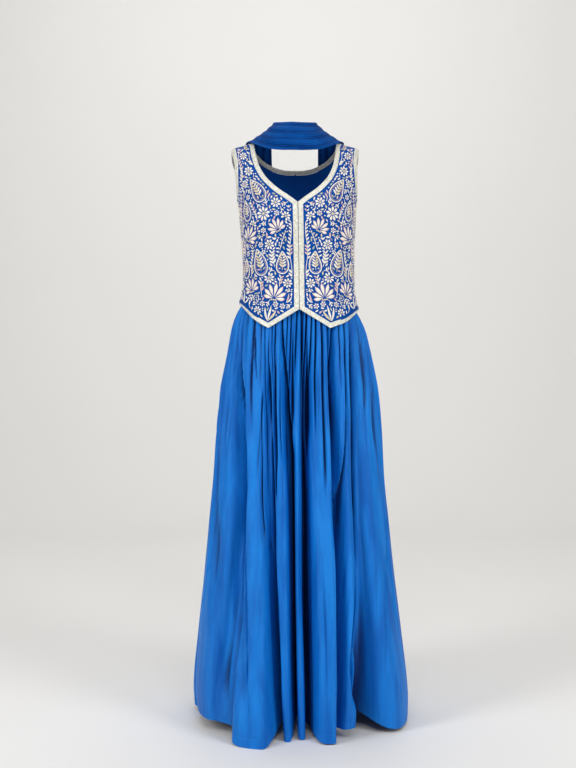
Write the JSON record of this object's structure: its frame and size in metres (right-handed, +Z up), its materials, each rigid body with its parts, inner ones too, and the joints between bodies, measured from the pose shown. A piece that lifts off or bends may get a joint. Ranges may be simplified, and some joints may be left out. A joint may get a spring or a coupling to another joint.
{
  "type": "lehenga set",
  "caption": "Sleeveless embroidered waistcoat, long gathered skirt and a pleated dupatta round the neck, in their worn shape and open inside.",
  "frame": {"origin": "centre of the top edge of the skirt's waistband, where the wearer's waist holds the skirt; the floor is 1.072 m below", "axes": "+Z up along the wearer, +X to the wearer's left, the wearer faces -Y"},
  "size_m": [0.5392, 0.5195, 1.4851],
  "materials": {
    "skirt_crepe": "satin",
    "waistcoat_silk": "satin",
    "band_tissue": "satin",
    "dupatta_crepe": "matt",
    "embroidery_thread": "satin"
  },
  "bodies": {
    "root": {"waistcoat_front_left": "waistcoat_silk", "waistcoat_front_right": "waistcoat_silk", "waistcoat_back": "waistcoat_silk", "neck_band": "band_tissue", "hem_band": "band_tissue", "armhole_band_left": "band_tissue", "armhole_band_right": "band_tissue", "skirt_waistband": "skirt_crepe", "skirt_front": "skirt_crepe", "skirt_back": "skirt_crepe", "dupatta_front": "dupatta_crepe", "dupatta_left_tail": "dupatta_crepe", "dupatta_right_tail": "dupatta_crepe"}
  },
  "joints": []
}
